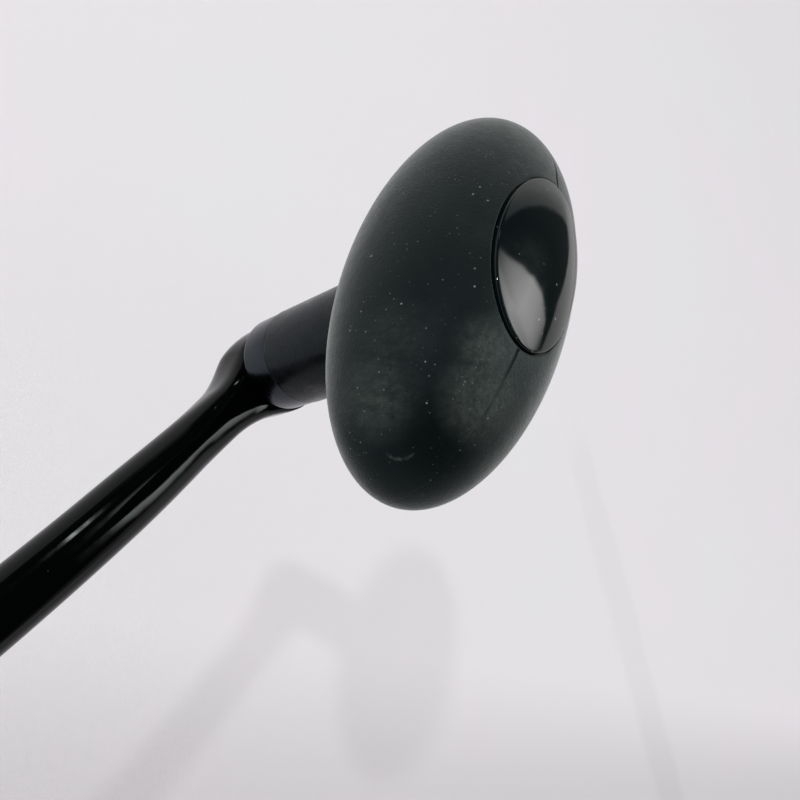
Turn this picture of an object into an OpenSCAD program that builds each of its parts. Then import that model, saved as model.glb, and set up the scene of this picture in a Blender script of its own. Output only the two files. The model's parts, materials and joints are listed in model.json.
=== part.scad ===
// Power handle of a spinning reel: a cranked arm on a drive shaft, with an egg-shaped
// knob that turns on two ball bearings.
// Origin: on the drive shaft's axis, in the seat face of its shoulder.
// +Z runs along the drive shaft towards the knob, +X from the shaft towards the knob.

/* [Crank arm] */
// Distance along the arm from the drive shaft to the knob post
crank_r = 68; // [62:1:85]
// Diameter of the arm's round bar
bar_d = 7.4; // [6.6:0.1:7.8]
// Sideways bow of the bar, midway between the drive shaft and the knob post
bar_bow = 1.34; // [0:0.02:1.6]
// Width of the arm where it leaves the hub
root_w = 10; // [8:0.1:12]
// Length over which it narrows from there to the bar
root_len = 10; // [8:1:14]
// Width of the bar's waist, where it starts to flare into the eye
waist_w = 6.46; // [6:0.02:7.2]
// Length over which the bar narrows to its waist
waist_len = 22; // [12:1:24]
// Distance from the knob post back to the waist
waist_back = 8; // [7:0.5:12]
// Radius of the flare from the bar into the eye, on the bowed side
flare_long = 22; // [18:1:40]
// Radius of that flare on the other side
flare_short = 9.8; // [8:0.1:20]
// Diameter of the eye's face under the collar
eye_d = 12.42; // [12:0.02:12.6]
// Sideways set of the eye from the knob post's axis, towards the bowed side
eye_set = 0.42; // [0:0.02:0.6]
// Height of the eye's face above the bar
eye_lift = 0.15; // [0.1:0.05:0.4]
// Height of the straight rim under the eye's face
eye_rim = 0.4; // [0.2:0.05:1]
// Depth of the eye from its face to its lowest point
eye_depth = 9.35; // [8.2:0.05:9.6]
// Squareness of the eye's back: 2 is an ellipse, more is squarer
eye_square = 3.2; // [2.4:0.1:3.6]
// Distance from the knob post back to where the bar's underside starts to drop
heel_back = 18; // [14:0.5:20]
// Length over which it drops to the eye's lowest point
heel_len = 15; // [8:0.5:16]
// Distance from the knob post back to where the arm's crown line starts to set over to the eye
crown_back = 13; // [10:0.5:16]
// Distance from the knob post back to where the arm's widest line starts to rise to the eye's rim
rim_back = 4.7; // [4:0.1:9]
// Thickness of the eye between the post's flange and its backing washer
eye_h = 5.8; // [5.2:0.1:6.2]

/* [Hub] */
// Diameter of the hub round the drive shaft
hub_d = 16; // [15:0.5:20]
// Height of the hub
hub_h = 9.6; // [9:0.1:12]
// Rounding of the hub's edges
hub_round = 1.8; // [0.5:0.1:2.5]
// Diameter of the pocket in the hub's front
pocket_d = 9.2; // [8.8:0.1:10]
// Depth of that pocket
pocket_depth = 3.8; // [3.6:0.1:4.4]

/* [Drive shaft] */
// Diameter of the journal that runs in the reel's body
journal_d = 7; // [6.6:0.1:8]
// Length of the journal
journal_len = 12; // [8:0.5:16]
// Diameter of the shoulder that seats against the reel's body
shoulder_d = 11; // [10:0.5:13]
// Thickness of the shoulder
shoulder_h = 1.5; // [1.2:0.1:2]
// Outer diameter of the screwed end
screwed_d = 6; // [5:0.1:6.4]
// Length of the screwed end
screwed_len = 11; // [8:0.5:16]
// Depth of the neck cut between journal and screwed end
relief_depth = 0.5; // [0.3:0.1:0.7]
// Length of that neck
relief_len = 0.9; // [0.6:0.1:1.5]
// Diameter of the shaft's upper end inside the hub
spigot_d = 6; // [5.6:0.1:6.4]
// Distance across the two flats of that end
spigot_flats = 4.6; // [4.2:0.1:5]
// Chamfer at the shaft's tip
tip_chamfer = 0.8; // [0.4:0.1:1.2]

/* [Screws and washers] */
// Diameter of the two socket-head screws
screw_d = 3; // [2.5:0.1:3.2]
// Diameter of the screw heads
head_d = 5.5; // [5:0.1:5.8]
// Height of the screw heads
head_h = 2; // [1.8:0.1:2.3]
// Width across the flats of the screw heads' sockets
socket_w = 2; // [1.5:0.1:2.4]
// Depth of the sockets
socket_depth = 1.2; // [0.8:0.1:1.4]
// Length of each screw below its head
screw_len = 8; // [6:0.5:9]
// Diameter of the washers under the screw heads
washer_d = 6.6; // [6.2:0.1:6.8]
// Thickness of those washers
washer_t = 0.6; // [0.4:0.1:0.7]
// Wall of the hub plug's skirt
plug_wall = 0.8; // [0.6:0.1:0.9]
// Thickness of the hub plug's lid
plug_lid = 0.9; // [0.6:0.1:1]

/* [Knob post] */
// Diameter of the post that the knob turns on
post_d = 5; // [4.6:0.1:5.2]
// Diameter of the post's flange on the eye
flange_d = 8.4; // [7.6:0.1:9]
// Thickness of that flange
flange_h = 1.2; // [0.9:0.1:1.6]
// Diameter of the peened head at the eye's back
peen_d = 6.2; // [5.6:0.1:6.6]
// Height of the peened head
peen_h = 1.1; // [0.8:0.1:1.4]
// Diameter of the washer under the peened head
backing_d = 7.2; // [6.8:0.1:7.6]
// Thickness of that washer
backing_t = 0.8; // [0.6:0.1:1.2]

/* [Collar] */
// Diameter of the collar ring between arm and knob
collar_d = 12.7; // [12.2:0.1:13.2]
// Height of the collar ring at its rim
collar_h = 4.8; // [4:0.05:6]
// Bevel of the collar's edge under the knob
collar_bevel = 0.25; // [0.1:0.05:0.5]
// Bevel of its edge on the arm
foot_bevel = 0.6; // [0.2:0.05:0.8]
// Diameter of the raised hub that carries the bearing
collar_hub_d = 8; // [7:0.1:8.2]
// Rise of that hub above the collar's rim
collar_rise = 0.5; // [0.4:0.05:0.8]
// Thickness of the shim between collar and bearing
shim_t = 0.3; // [0.2:0.05:0.5]

/* [Ball bearings] */
// Outer diameter of each bearing
bearing_d = 10; // [9.6:0.1:10.2]
// Width of each bearing
bearing_w = 4; // [3.6:0.1:4.4]
// Diameter of the balls
ball_d = 1.5; // [1.3:0.05:1.6]
// Number of balls in each bearing
ball_count = 8; // [6:1:9]
// Depth of the race grooves that the balls run in
groove_depth = 0.25; // [0.15:0.05:0.3]
// Height of the ball cage
cage_h = 2.3; // [2.1:0.1:2.8]
// Thickness of the ball cage
cage_t = 0.6; // [0.5:0.05:0.7]
// Clearance between a ball and its pocket in the cage
pocket_gap = 0.1; // [0.05:0.01:0.15]
// Height from the lower bearing's front to the upper bearing's back
bearing_span = 19.75; // [16:0.25:21]
// Wall of the spacer tube between the bearings
spacer_wall = 0.65; // [0.5:0.05:0.8]

/* [Knob core] */
// Diameter of the neck
neck_d = 12.86; // [12.4:0.02:13.2]
// Height from the neck's lower end to the grip's centre
neck_to_centre = 27.05; // [26:0.05:30]
// Bevel of the neck's lower edge
neck_bevel = 0.3; // [0.1:0.05:0.5]
// Diameter of the bore between the bearings
core_bore_d = 8.4; // [8:0.1:9]
// Diameter of the rings that key the core into the grip
key_d = 17; // [15:0.5:19]
// Thickness of the keying rings
key_t = 1.6; // [1.2:0.1:2]
// Height of the first keying ring above the neck's lower end
key_first = 18.5; // [18:0.5:20]
// Distance from one keying ring to the next
key_step = 5.5; // [4:0.5:6]
// Length of the oval seat plate under the cap
plate_l = 25; // [24:0.2:27]
// Width of the oval seat plate
plate_w = 16; // [15:0.2:17]
// Thickness of the seat plate
plate_t = 1.6; // [1.2:0.1:2]
// Height of the seat plate's face above the grip's centre
seat_rise = 7.2; // [6.6:0.1:7.6]

/* [Grip] */
// Length of the grip
grip_l = 52; // [48:0.5:60]
// Width of the grip
grip_w = 25.6; // [25:0.2:30]
// Thickness of the grip along the post
grip_t = 24.6; // [24.2:0.2:28]
// Angle of the grip's length from the arm's direction, as it stands at rest
knob_turn = 22.4; // [-90:0.1:90]
// Length of the oval recess for the cap
recess_l = 22; // [21:0.1:23.6]
// Width of the oval recess
recess_w = 13; // [12.6:0.1:14.6]
// Width of the parting line round the grip
seam_w = 0.2; // [0.1:0.05:0.4]
// Depth of the parting line
seam_depth = 0.25; // [0.1:0.05:0.4]

/* [End cap] */
// Gap all round between cap and recess
cap_gap = 0.3; // [0.2:0.05:0.6]
// Height by which the cap's crown stands above the grip
crown_proud = 0.3; // [0:0.05:1]
// Height of the dome's ellipsoid above its middle
dome_h = 6; // [5:0.1:7]
// Length of the dome's ellipsoid
dome_l = 38; // [36:0.1:44]
// Width of the dome's ellipsoid
dome_w = 19.8; // [17:0.1:22]
// Wall of the cap
cap_wall = 1.1; // [0.8:0.05:1.4]
// Number of snap legs
leg_count = 3; // [2:1:4]
// Angle that each snap leg spans
leg_angle = 56; // [30:2:70]
// Thickness of the snap legs
leg_t = 0.9; // [0.6:0.05:1]
// Reach of the snap legs below the seat plate's face
leg_reach = 2.4; // [2:0.1:2.6]
// Reach of the barbs on the legs
barb = 0.35; // [0.2:0.05:0.4]
// Height of the barbs
barb_h = 0.8; // [0.5:0.05:1]

/* [Clearances] */
// Radial clearance of parts that are pressed or moulded together
press_gap = 0.02; // [0.01:0.005:0.03]
// Radial running clearance of the balls in their races
ball_gap = 0.03; // [0.02:0.005:0.05]
// Axial gap between pieces that turn against each other
run_gap = 0.3; // [0.2:0.05:0.5]
// Clearance of a screw in its hole and of other loose fits
loose_gap = 0.05; // [0.03:0.01:0.1]

/* [Hidden] */
$fn = 96;
// Overlap of a cut past the face that it opens
over = 1;
// Points round the arm, steps along its root, its bar and its flare, and steps of the eye's back
sides = 40;
root_steps = 4;
bar_steps = 9;
flare_steps = 17;
eye_steps = 12;
// Depth by which the arm's loft stays inside the eye where the two meet
tuck = 0.1;
// Squareness of a plain oval section, and of the arm's upper half where it meets the eye's rim
oval_square = 2;
rim_square = 4;
// Heights on the arm
hub_z = shoulder_h;
hub_top = hub_z + hub_h;
bar_z = hub_z + hub_h / 2;
eye_top = bar_z + bar_d / 2 + eye_lift;
eye_z = eye_top - eye_h;
backing_z = eye_z - backing_t;
eye_r = eye_d / 2;
pocket_z = hub_top - pocket_depth;
// Heights up the knob post
collar_top = eye_top + collar_h;
shim_z = collar_top + collar_rise;
lower_z = shim_z + shim_t;
spacer_z = lower_z + bearing_w;
upper_z = spacer_z + bearing_span;
post_top = upper_z + bearing_w - run_gap / 2;
neck_z = collar_top + run_gap;
grip_z = neck_z + neck_to_centre;
seat_z = grip_z + seat_rise;
plate_z = seat_z - plate_t;
// Radii of the bearings, from the post outwards
ball_r = ball_d / 2;
inner_r = post_d / 2 + press_gap;
outer_r = bearing_d / 2 - press_gap;
pitch_r = (post_d + bearing_d) / 4;
land_r = ball_r - groove_depth;
// The dome's middle, set so that its crown stands proud of the grip
dome_z = grip_z + grip_t / 2 + crown_proud - dome_h;

// Places its children on the knob post's axis
module on_post() {
    translate([crank_r, 0, 0]) children();
}

// Places its children in the knob's own frame, with x along the grip
module on_knob() {
    on_post() rotate([0, 0, knob_turn]) children();
}

// A ring or tube standing on z
module ring(outer, inner, h) {
    difference() {
        cylinder(r = outer, h = h);
        translate([0, 0, -over]) cylinder(r = inner, h = h + 2 * over);
    }
}

// An ellipsoid from its three full sizes
module ellipsoid(length, width, height) {
    scale([length / 2, width / 2, height / 2]) sphere(r = 1);
}

// An oval prism from its length, width and height
module oval(length, width, h) {
    linear_extrude(h) scale([length / 2, width / 2]) circle(r = 1);
}

// A barrel with a rounded lower and upper edge
module barrel(r, h, low, high) {
    rotate_extrude() {
        square([r - max(low, high), h]);
        translate([0, low]) square([r, h - low - high]);
        square([r - low, low]);
        translate([0, h - high]) square([r - high, high]);
        intersection() {
            translate([r - low, low]) circle(r = low);
            translate([r - low, 0]) square([low, low]);
        }
        intersection() {
            translate([r - high, h - high]) circle(r = high);
            translate([r - high, h - high]) square([high, high]);
        }
    }
}

// A shaft with two flats
module flatted(d, flats, h) {
    intersection() {
        cylinder(d = d, h = h);
        translate([-d, -flats / 2, 0]) cube([2 * d, flats, h]);
    }
}

// A socket-head screw with its head's underside at z = 0
module socket_screw() {
    difference() {
        union() {
            cylinder(d = head_d, h = head_h);
            translate([0, 0, -screw_len]) cylinder(d = screw_d, h = screw_len + over / 2);
        }
        translate([0, 0, head_h - socket_depth])
            cylinder(d = socket_w / cos(30), h = socket_depth + over, $fn = 6);
    }
}

// Eases from 0 to 1 as x goes from 0 to 1
function ease(x) = let (k = min(max(x, 0), 1)) k * k * (3 - 2 * k);

// Sideways place of the arm's centre line at a distance x from the drive shaft
function arm_side(x) = -4 * bar_bow * x / crank_r * (1 - x / crank_r);

// Half the bar's width at x, from its root at the hub to its waist
function bar_half(x) =
    let (root = 1 - ease((x - hub_d / 2) / root_len))
    let (waist = ease((x - crank_r + waist_back + waist_len) / waist_len))
    (bar_d + (root_w - bar_d) * root + (waist_w - bar_d) * waist) / 2;

// The arm's edge at x, as a distance from the eye's centre line: the bar's own edge,
// then an arc of the given radius, then the eye's circle, which the arc touches
function arm_edge(x, edge, radius) =
    let (r = eye_r - tuck)
    let (arc_x = -sqrt(max((r + radius) ^ 2 - (edge + radius) ^ 2, 0)))
    let (touch_x = arc_x * r / (r + radius))
    let (u = x - crank_r)
    u < arc_x ? edge : u < touch_x ? edge + radius - sqrt(radius ^ 2 - (u - arc_x) ^ 2) : sqrt(r ^ 2 - u ^ 2);

// A power of a sine or cosine that keeps its sign, to square a round section
function squared(x, power) = sign(x) * abs(x) ^ (2 / power);

// One ring of points round the arm at x
function arm_ring(x) =
    let (side = arm_side(x), half = bar_half(x))
    let (right = -eye_set - arm_edge(x, half - side - eye_set, flare_long))
    let (left = -eye_set + arm_edge(x, half + side + eye_set, flare_short))
    let (middle = side - (side + eye_set) * ease((x - crank_r + crown_back) / crown_back))
    let (drop = ease((x - crank_r + heel_back) / heel_len))
    let (widest = bar_z + (eye_top - eye_rim - bar_z) * ease((x - crank_r + rim_back) / rim_back))
    let (top = bar_z + bar_d / 2)
    let (floor = bar_z - bar_d / 2 + (eye_top - eye_depth + tuck - bar_z + bar_d / 2) * drop)
    let (upper = oval_square + (rim_square - oval_square) * drop)
    let (lower = oval_square + (eye_square - oval_square) * drop)
    [for (i = [0 : sides - 1])
        let (c = cos((i + 0.5) * 360 / sides), s = sin((i + 0.5) * 360 / sides))
        let (across = squared(c, s > 0 ? upper : lower))
        [
            x,
            middle + across * (c > 0 ? left - middle : middle - right),
            widest + (s > 0 ? (top - widest) * squared(s, upper) : (widest - floor) * squared(s, lower))
        ]];

// The arm's solid between the hub's axis and the knob post's axis
module arm_loft() {
    root_x = hub_d / 2;
    bar_x = root_x + root_len;
    flare_x = crank_r - heel_back - over;
    rings = concat(
        [arm_ring(0)],
        [for (i = [0 : root_steps - 1]) arm_ring(root_x + root_len * i / root_steps)],
        [for (i = [0 : bar_steps - 1]) arm_ring(bar_x + (flare_x - bar_x) * i / bar_steps)],
        [for (i = [0 : flare_steps]) arm_ring(flare_x + (crank_r - flare_x) * i / flare_steps)]
    );
    last = (len(rings) - 1) * sides;
    polyhedron(
        points = [for (r = rings) each r],
        faces = concat(
            [[for (i = [0 : sides - 1]) i]],
            [for (i = [0 : sides : last - 1]) for (j = [0 : sides - 1])
                [i + j, i + sides + j, i + sides + (j + 1) % sides]],
            [for (i = [0 : sides : last - 1]) for (j = [0 : sides - 1])
                [i + j, i + sides + (j + 1) % sides, i + (j + 1) % sides]],
            [[for (i = [sides - 1 : -1 : 0]) last + i]]
        )
    );
}

// The eye's solid: a short straight rim, then a back rounded all the way in
module eye_body() {
    rim_z = eye_top - eye_rim;
    on_post() translate([0, -eye_set, 0]) rotate_extrude() polygon(concat(
        [[0, eye_top], [eye_r, eye_top]],
        [for (i = [0 : eye_steps])
            let (a = 90 * i / eye_steps)
            [eye_r * squared(cos(a), eye_square),
             rim_z - (eye_depth - eye_rim) * squared(sin(a), eye_square)]]
    ));
}

module crank_arm() {
    color([0.03, 0.03, 0.035]) difference() {
        union() {
            arm_loft();
            eye_body();
            translate([0, 0, hub_z]) barrel(hub_d / 2, hub_h, hub_round, hub_round);
        }
        translate([0, 0, hub_z - over])
            flatted(spigot_d + 2 * press_gap, spigot_flats + 2 * press_gap, hub_h);
        translate([0, 0, pocket_z]) cylinder(d = pocket_d, h = pocket_depth + over);
        on_post() translate([0, 0, eye_z - over])
            cylinder(d = post_d + 2 * press_gap, h = eye_h + 2 * over);
        on_post() translate([0, 0, -over])
            cylinder(d = backing_d + 2 * loose_gap, h = eye_z + over);
    }
}

module drive_shaft() {
    journal_r = journal_d / 2;
    screwed_r = screwed_d / 2;
    tip_z = -journal_len - relief_len - screwed_len;
    color([0.75, 0.76, 0.78]) difference() {
        union() {
            rotate_extrude() polygon([
                [0, tip_z],
                [screwed_r - tip_chamfer, tip_z],
                [screwed_r, tip_z + tip_chamfer],
                [screwed_r, -journal_len - relief_len],
                [screwed_r - relief_depth, -journal_len - relief_len],
                [screwed_r - relief_depth, -journal_len],
                [journal_r, -journal_len],
                [journal_r, 0],
                [shoulder_d / 2, 0],
                [shoulder_d / 2, shoulder_h],
                [0, shoulder_h]
            ]);
            flatted(spigot_d, spigot_flats, pocket_z - run_gap / 2);
        }
        translate([0, 0, pocket_z + washer_t - screw_len - over])
            cylinder(d = screw_d + 2 * press_gap, h = screw_len + 2 * over);
    }
}

module hub_washer() {
    color([0.8, 0.8, 0.82]) translate([0, 0, pocket_z])
        ring(washer_d / 2, screw_d / 2 + loose_gap, washer_t);
}

module hub_screw() {
    color([0.7, 0.7, 0.72]) translate([0, 0, pocket_z + washer_t]) socket_screw();
}

module hub_plug() {
    plug_r = pocket_d / 2 - loose_gap;
    color([0.05, 0.05, 0.05]) translate([0, 0, pocket_z]) {
        ring(plug_r, plug_r - plug_wall, pocket_depth);
        translate([0, 0, pocket_depth - plug_lid]) cylinder(r = plug_r, h = plug_lid);
    }
}

module knob_post() {
    post_r = post_d / 2;
    peen_sphere = (peen_d * peen_d / 4 + peen_h * peen_h) / (2 * peen_h);
    color([0.78, 0.79, 0.8]) on_post() difference() {
        union() {
            translate([0, 0, backing_z]) cylinder(r = post_r, h = post_top - backing_z);
            translate([0, 0, eye_top]) cylinder(d = flange_d, h = flange_h);
            intersection() {
                translate([0, 0, backing_z + peen_sphere - peen_h]) sphere(r = peen_sphere);
                translate([0, 0, backing_z - peen_h - over]) cylinder(d = peen_d + over, h = peen_h + over);
            }
        }
        translate([0, 0, post_top - screw_len])
            cylinder(d = screw_d + 2 * press_gap, h = screw_len + over);
    }
}

module peen_washer() {
    color([0.7, 0.71, 0.73]) on_post() translate([0, 0, backing_z])
        ring(backing_d / 2, post_d / 2 + press_gap, backing_t);
}

module collar_ring() {
    collar_r = collar_d / 2;
    color([0.23, 0.25, 0.28]) on_post() difference() {
        rotate_extrude() polygon([
            [0, eye_top],
            [collar_r - foot_bevel, eye_top],
            [collar_r, eye_top + foot_bevel],
            [collar_r, collar_top - collar_bevel],
            [collar_r - collar_bevel, collar_top],
            [collar_hub_d / 2, collar_top],
            [collar_hub_d / 2, shim_z],
            [0, shim_z]
        ]);
        translate([0, 0, eye_top - over])
            cylinder(d = post_d + 2 * press_gap, h = collar_h + collar_rise + 2 * over);
        translate([0, 0, eye_top - over])
            cylinder(d = flange_d + 2 * loose_gap, h = flange_h + press_gap + over);
    }
}

module bearing_shim() {
    color([0.8, 0.78, 0.7]) on_post() translate([0, 0, shim_z])
        ring(pitch_r - land_r, post_d / 2 + press_gap, shim_t);
}

// The torus that the balls sweep, as a solid to cut the race grooves
module ball_track() {
    rotate_extrude() translate([pitch_r, bearing_w / 2]) circle(r = ball_r + ball_gap);
}

module inner_race(z) {
    color([0.8, 0.81, 0.83]) on_post() translate([0, 0, z]) difference() {
        ring(pitch_r - land_r, inner_r, bearing_w);
        ball_track();
    }
}

module outer_race(z) {
    color([0.8, 0.81, 0.83]) on_post() translate([0, 0, z]) difference() {
        ring(outer_r, pitch_r + land_r, bearing_w);
        ball_track();
    }
}

// Places its children at each ball of the bearing whose lower face is at z
module at_balls(z) {
    on_post() translate([0, 0, z + bearing_w / 2])
        for (i = [0 : ball_count - 1])
            rotate([0, 0, i * 360 / ball_count]) translate([pitch_r, 0, 0]) children();
}

module balls(z) {
    color([0.85, 0.86, 0.88]) at_balls(z) sphere(r = ball_r, $fn = 48);
}

module cage(z) {
    color([0.72, 0.6, 0.35]) difference() {
        on_post() translate([0, 0, z + (bearing_w - cage_h) / 2])
            ring(pitch_r + cage_t / 2, pitch_r - cage_t / 2, cage_h);
        at_balls(z) rotate([0, 90, 0])
            cylinder(r = ball_r + pocket_gap, h = cage_t + over, center = true, $fn = 48);
    }
}

module bearing_spacer() {
    color([0.75, 0.76, 0.78]) on_post() translate([0, 0, spacer_z])
        ring(inner_r + spacer_wall, inner_r, bearing_span);
}

module post_washer() {
    color([0.75, 0.76, 0.78]) on_post() translate([0, 0, upper_z + bearing_w])
        ring(washer_d / 2, screw_d / 2 + loose_gap, washer_t);
}

module post_screw() {
    color([0.7, 0.7, 0.72]) on_post() translate([0, 0, upper_z + bearing_w + washer_t])
        socket_screw();
}

// The outside of the core, grown by a gap where the grip is moulded round it
module core_body(gap) {
    neck_r = neck_d / 2;
    translate([0, 0, neck_z + neck_bevel])
        cylinder(r = neck_r + gap, h = seat_z - neck_z - neck_bevel);
    translate([0, 0, neck_z])
        cylinder(r1 = neck_r - neck_bevel + gap, r2 = neck_r + gap, h = neck_bevel);
    for (i = [0, 1])
        translate([0, 0, neck_z + key_first + i * key_step - gap])
            cylinder(d = key_d + 2 * gap, h = key_t + 2 * gap);
    translate([0, 0, plate_z - gap])
        oval(plate_l + 2 * gap, plate_w + 2 * gap, plate_t + 2 * gap);
}

module knob_core() {
    seat_r = bearing_d / 2;
    color([0.1, 0.1, 0.11]) on_knob() difference() {
        core_body(0);
        translate([0, 0, neck_z - over]) cylinder(r = seat_r, h = spacer_z - neck_z + over);
        translate([0, 0, neck_z]) cylinder(d = core_bore_d, h = seat_z - neck_z);
        translate([0, 0, upper_z]) cylinder(r = seat_r, h = seat_z - upper_z + over);
        translate([0, 0, seat_z - leg_reach])
            cylinder(r = seat_r + barb + loose_gap, h = barb_h + 2 * loose_gap);
    }
}

module grip() {
    color([0.14, 0.15, 0.15]) on_knob() difference() {
        translate([0, 0, grip_z]) ellipsoid(grip_l, grip_w, grip_t);
        core_body(press_gap);
        translate([0, 0, seat_z]) oval(recess_l, recess_w, grip_t);
        translate([0, 0, grip_z]) parting_line();
    }
}

// The thin plate that cuts the parting line, in the plane of the post and the grip's length
module parting_line() {
    rotate([90, 0, 0]) linear_extrude(seam_w, center = true) difference() {
        square([grip_l + over, grip_t + over], center = true);
        scale([grip_l / 2 - seam_depth, grip_t / 2 - seam_depth]) circle(r = 1);
    }
}

// One snap leg, turned about the post's axis, with a barb at its foot
module snap_leg() {
    leg_r = bearing_d / 2 - loose_gap;
    foot_z = seat_z - leg_reach + loose_gap;
    rotate([0, 0, -leg_angle / 2]) rotate_extrude(angle = leg_angle) polygon([
        [leg_r - leg_t, foot_z],
        [leg_r, foot_z],
        [leg_r + barb, foot_z + barb_h],
        [leg_r, foot_z + barb_h],
        [leg_r, dome_z + dome_h],
        [leg_r - leg_t, dome_z + dome_h]
    ]);
}

module end_cap() {
    cap_l = recess_l - 2 * cap_gap;
    cap_w = recess_w - 2 * cap_gap;
    color([0.02, 0.02, 0.025]) on_knob() {
        difference() {
            intersection() {
                translate([0, 0, seat_z]) oval(cap_l, cap_w, dome_h + over);
                translate([0, 0, dome_z]) ellipsoid(dome_l, dome_w, 2 * dome_h);
            }
            intersection() {
                translate([0, 0, seat_z - over]) oval(cap_l - 2 * cap_wall, cap_w - 2 * cap_wall, dome_h);
                translate([0, 0, dome_z])
                    ellipsoid(dome_l - 2 * cap_wall, dome_w - 2 * cap_wall, 2 * (dome_h - cap_wall));
            }
        }
        intersection() {
            translate([0, 0, dome_z])
                ellipsoid(dome_l - cap_wall, dome_w - cap_wall, 2 * dome_h - cap_wall);
            for (i = [0 : leg_count - 1]) rotate([0, 0, i * 360 / leg_count]) snap_leg();
        }
    }
}

crank_arm();
drive_shaft();
hub_washer();
hub_screw();
hub_plug();
knob_post();
peen_washer();
collar_ring();
bearing_shim();
inner_race(lower_z);  // lower_inner_race
balls(lower_z);  // lower_balls
cage(lower_z);  // lower_cage
outer_race(lower_z);  // lower_outer_race
bearing_spacer();
inner_race(upper_z);  // upper_inner_race
balls(upper_z);  // upper_balls
cage(upper_z);  // upper_cage
outer_race(upper_z);  // upper_outer_race
post_washer();
post_screw();
knob_core();
grip();
end_cap();
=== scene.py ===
"""Looks of the fishing reel power handle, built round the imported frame.

Lengths are in millimetres until they go into a mesh. The axes are the part's own: +Z runs along
the drive shaft towards the knob, +X from the drive shaft towards the knob post.
"""

import json
import math

import bmesh
import bpy
import numpy as np
from mathutils import Matrix, Vector


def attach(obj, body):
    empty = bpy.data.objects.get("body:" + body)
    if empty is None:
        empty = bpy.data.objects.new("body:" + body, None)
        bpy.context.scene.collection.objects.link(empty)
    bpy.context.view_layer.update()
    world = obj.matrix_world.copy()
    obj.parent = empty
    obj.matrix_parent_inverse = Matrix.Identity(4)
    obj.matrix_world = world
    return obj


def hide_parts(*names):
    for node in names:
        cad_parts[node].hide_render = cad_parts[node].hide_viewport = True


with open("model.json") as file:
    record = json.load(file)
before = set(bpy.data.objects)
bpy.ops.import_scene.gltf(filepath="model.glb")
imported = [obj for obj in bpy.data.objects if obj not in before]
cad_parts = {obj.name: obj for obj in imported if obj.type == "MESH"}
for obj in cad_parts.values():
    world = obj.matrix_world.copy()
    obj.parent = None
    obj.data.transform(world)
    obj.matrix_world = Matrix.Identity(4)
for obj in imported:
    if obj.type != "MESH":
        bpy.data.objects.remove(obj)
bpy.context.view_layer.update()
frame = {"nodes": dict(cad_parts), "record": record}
nodes = frame["nodes"]
scene = bpy.context.scene
scene.view_settings.view_transform = "Standard"
MM = 0.001

# Places and sizes as in the CAD, but the neck's foot is 0.2 lower, and the cap 0.15 lower and wider all
# round. R is a radius, and A, B and C are half an oval's length, width and height
SHAFT = np.array([0.0, 0.0])
POST = np.array([68.0, 0.0])
TURN = math.radians(22.4)
BAR_Z, BAR_R = 6.3, 3.7
EYE_TOP, EYE_R, EYE_SET = 10.15, 6.21, 0.42
COLLAR_TOP, COLLAR_R = 14.95, 6.35
NECK_Z, NECK_R = 15.25, 6.43
GRIP_Z = 42.3
GRIP_A, GRIP_B, GRIP_C = 26.0, 12.8, 12.3
RECESS_A, RECESS_B, SEAT_RISE = 11.0, 6.5, 7.2
CAP_A, CAP_B = 10.85, 6.34
DOME_A, DOME_B, DOME_H, DOME_Z = 19.0, 9.9, 6.0, 6.45
HUB_Z, HUB_R, HUB_H, HUB_ROUND = 1.5, 8.0, 9.6, 1.8

# The camera, fitted to the photograph
CAMERA_AT = (-1.3024, 18.2578, 95.4623)
CAMERA_RIGHT = (0.49634, -0.50878, 0.70341)
CAMERA_LOOK = (0.67878, -0.27770, -0.67981)


def link_object(name, data):
    obj = bpy.data.objects.new(name, data)
    scene.collection.objects.link(obj)
    return obj


# ---------------------------------------------------------------- camera
def make_camera():
    right = Vector(CAMERA_RIGHT).normalized()
    look = Vector(CAMERA_LOOK).normalized()
    up = right.cross(look).normalized()
    right = look.cross(up)
    data = bpy.data.cameras.new("camera")
    data.sensor_width = 36
    data.lens = 36
    data.clip_start = 0.005
    data.clip_end = 20
    cam = link_object("camera", data)
    turn = Matrix((right, up, -look)).transposed().to_4x4()
    cam.matrix_world = Matrix.Translation(Vector(CAMERA_AT) * MM) @ turn
    scene.camera = cam


make_camera()


# ---------------------------------------------------------------- meshes
def smooth(x):
    x = np.clip(x, 0, 1)
    return x * x * (3 - 2 * x)


def new_mesh(name, verts, faces):
    """A mesh from points in millimetres."""
    mesh = bpy.data.meshes.new(name)
    mesh.from_pydata([tuple(float(c) * MM for c in v) for v in verts], [], [tuple(f) for f in faces])
    return mesh


def edit_mesh(mesh, *steps):
    """Runs the steps on the mesh, each a function of its bmesh."""
    bm = bmesh.new()
    bm.from_mesh(mesh)
    for step in steps:
        step(bm)
    bm.to_mesh(mesh)
    bm.free()


def weld(bm):
    """Merges points that lie on each other, and takes out the slivers."""
    bmesh.ops.remove_doubles(bm, verts=bm.verts, dist=5e-4 * MM)
    bmesh.ops.dissolve_degenerate(bm, edges=bm.edges, dist=2e-4 * MM)


def face_out(bm):
    bmesh.ops.recalc_face_normals(bm, faces=bm.faces)


def shade(crease):
    """A step that shades all faces smooth and keeps edges sharper than crease degrees sharp."""

    def step(bm):
        for f in bm.faces:
            f.smooth = True
        for e in bm.edges:
            e.smooth = len(e.link_faces) != 2 or e.calc_face_angle(0) < math.radians(crease)

    return step


def make_object(name, verts, faces, body, stands_for, crease):
    """A piece from points in millimetres that rides on the body, in place of the nodes it stands for."""
    mesh = new_mesh(name, verts, faces)
    mesh.validate()
    edit_mesh(mesh, weld, face_out, shade(crease))
    obj = link_object(name, mesh)
    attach(obj, body)
    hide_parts(*stands_for)
    return obj


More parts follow.
